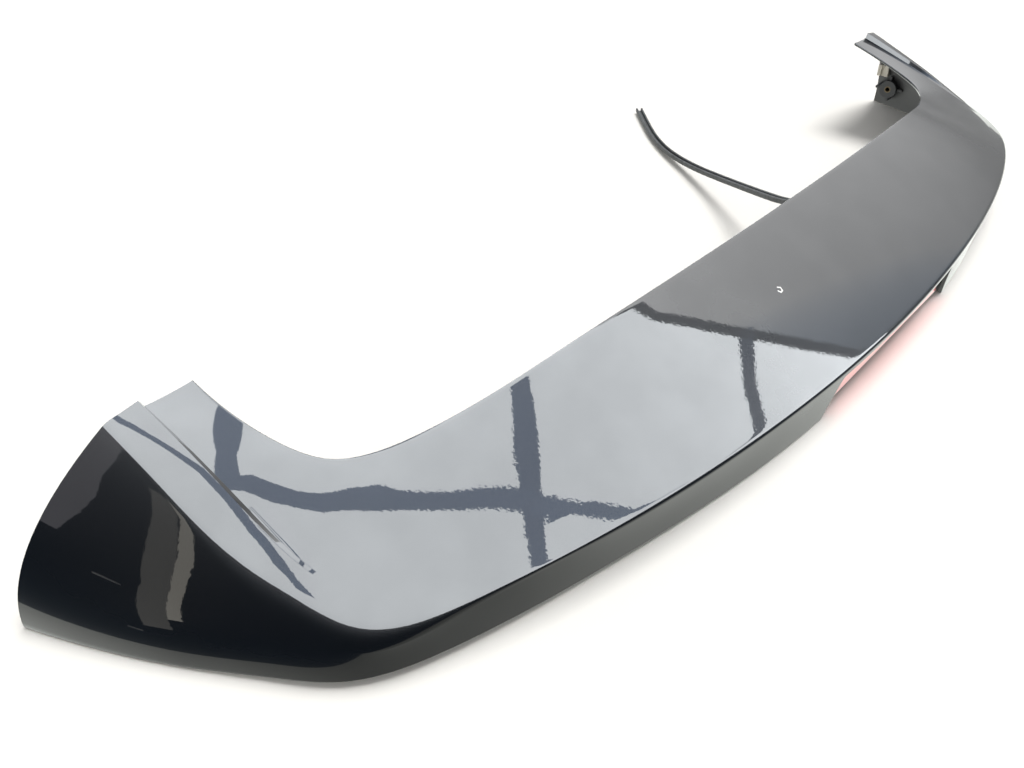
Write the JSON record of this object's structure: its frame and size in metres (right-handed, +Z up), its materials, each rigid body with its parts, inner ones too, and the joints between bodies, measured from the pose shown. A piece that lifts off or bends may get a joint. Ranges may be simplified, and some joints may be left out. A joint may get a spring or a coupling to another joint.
{
  "type": "car spoiler",
  "caption": "U-shaped roof-edge car spoiler with a hollow painted skin, a bonded lower panel, a recessed brake lamp, mounting studs and a rubber edge seal with a loose end.",
  "frame": {"origin": "middle of the skin's box, at the floor that the spoiler lies on", "axes": "+X across the car to its right-hand leg, +Y towards the leg tips, the front of the car, +Z up"},
  "size_m": [1.2, 0.5043, 0.1107],
  "materials": {
    "gloss_paint": "blue-black two-layer gloss paint with orange peel",
    "black_plastic": "unpainted moulded black plastic",
    "steel": "zinc-plated steel",
    "brass": "dull brass",
    "rubber": "dusty extruded rubber",
    "foam_rubber": "closed-cell foam rubber",
    "red_lens": "clear red plastic",
    "circuit_board": "coated circuit board",
    "led_package": "clear moulded light package",
    "natural_nylon": "natural nylon"
  },
  "bodies": {
    "root": {"outer_shell": "gloss_paint", "lower_panel": "black_plastic", "mounting_studs": "steel", "stud_seals": "foam_rubber", "lamp_lens": "red_lens", "lamp_gasket": "rubber", "lamp_housing": "black_plastic", "lamp_board": "circuit_board", "lamp_leds": "led_package", "lamp_screws": "steel", "lamp_socket": "black_plastic", "left_leg_boss": "black_plastic", "right_leg_boss": "black_plastic", "left_leg_insert": "brass", "right_leg_insert": "brass", "left_side_clip": "natural_nylon", "right_side_clip": "natural_nylon", "leading_edge_seal": "rubber", "seal_free_end": "rubber"}
  },
  "joints": []
}
